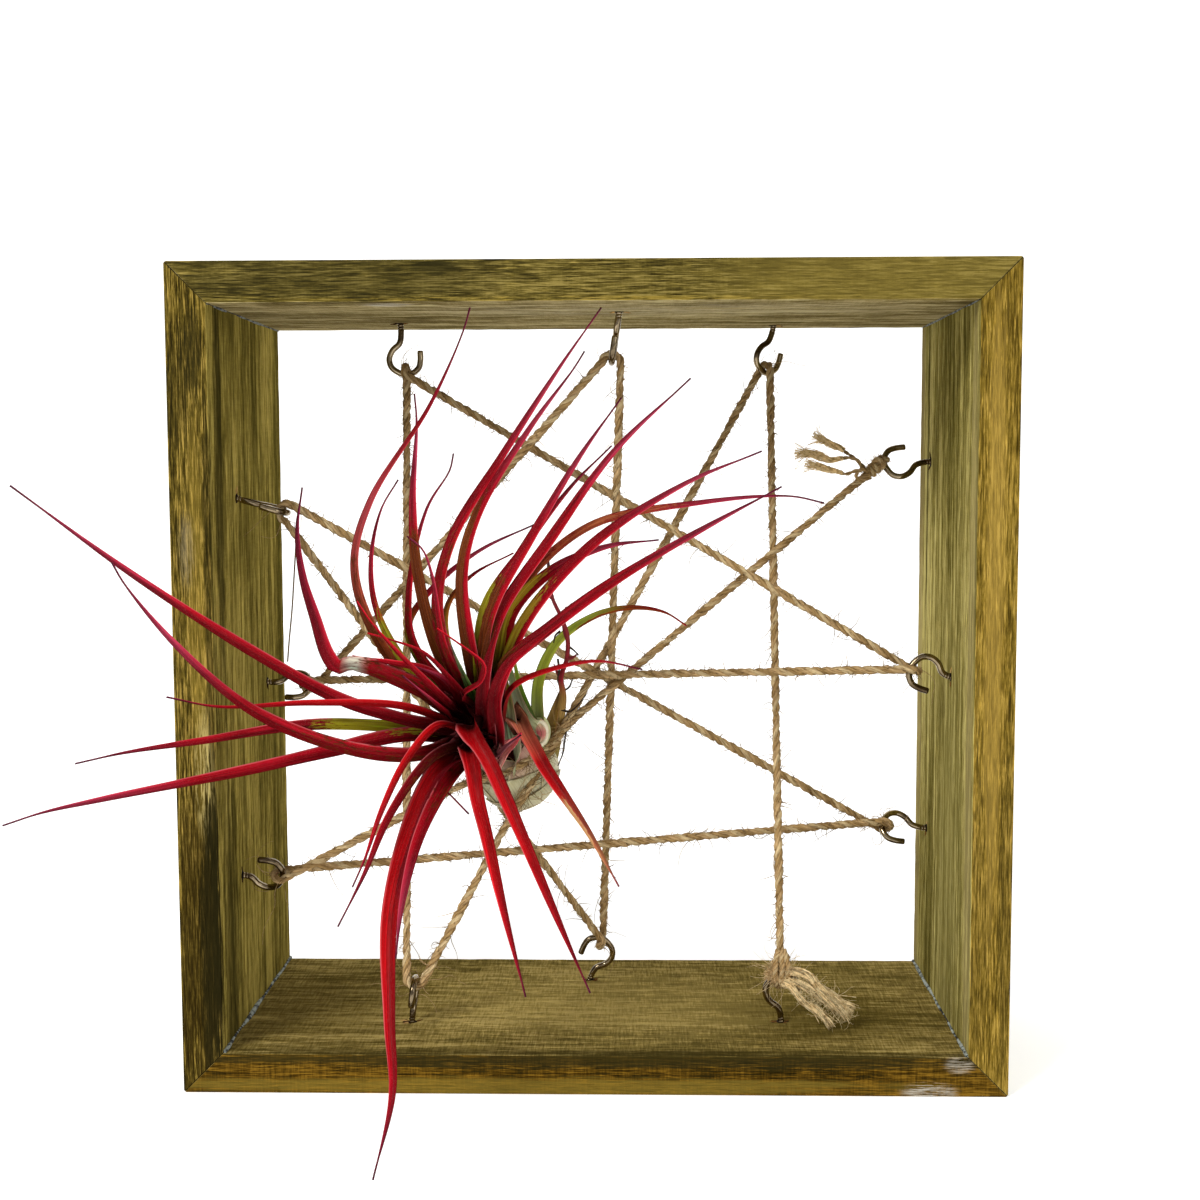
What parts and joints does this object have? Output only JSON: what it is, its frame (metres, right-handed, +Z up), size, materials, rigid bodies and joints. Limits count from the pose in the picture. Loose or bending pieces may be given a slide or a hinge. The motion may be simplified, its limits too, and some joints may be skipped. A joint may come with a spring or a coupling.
{
  "type": "mounted air plant",
  "caption": "Red brachycaulos air plant tied by laced jute twine between screw hooks in an open square wooden shadow frame.",
  "frame": {"origin": "centre of the frame's underside, where it stands", "axes": "+Z up, +X to the viewer's right, -Y out of the frame's front, the way the leaves reach"},
  "size_m": [0.2932, 0.1633, 0.254],
  "materials": {
    "stained_wood": "olive-brown stain, matte",
    "hook_wire": "polished, warm grey",
    "jute": "rough natural fibre",
    "red_leaf": "satin, finely scaled",
    "green_leaf": "satin, finely scaled",
    "dry_stalk": "dry and papery"
  },
  "bodies": {
    "root": {"board_bottom": "stained_wood", "board_left": "stained_wood", "board_top": "stained_wood", "board_right": "stained_wood", "hook_top_1": "hook_wire", "hook_top_2": "hook_wire", "hook_top_3": "hook_wire", "hook_right_1": "hook_wire", "hook_right_2": "hook_wire", "hook_right_3": "hook_wire", "hook_bottom_1": "hook_wire", "hook_bottom_2": "hook_wire", "hook_bottom_3": "hook_wire", "hook_left_1": "hook_wire", "hook_left_2": "hook_wire", "hook_left_3": "hook_wire", "twine": "jute", "rosette": "red_leaf", "pup": "green_leaf", "flower_stalk": "dry_stalk"}
  },
  "joints": []
}
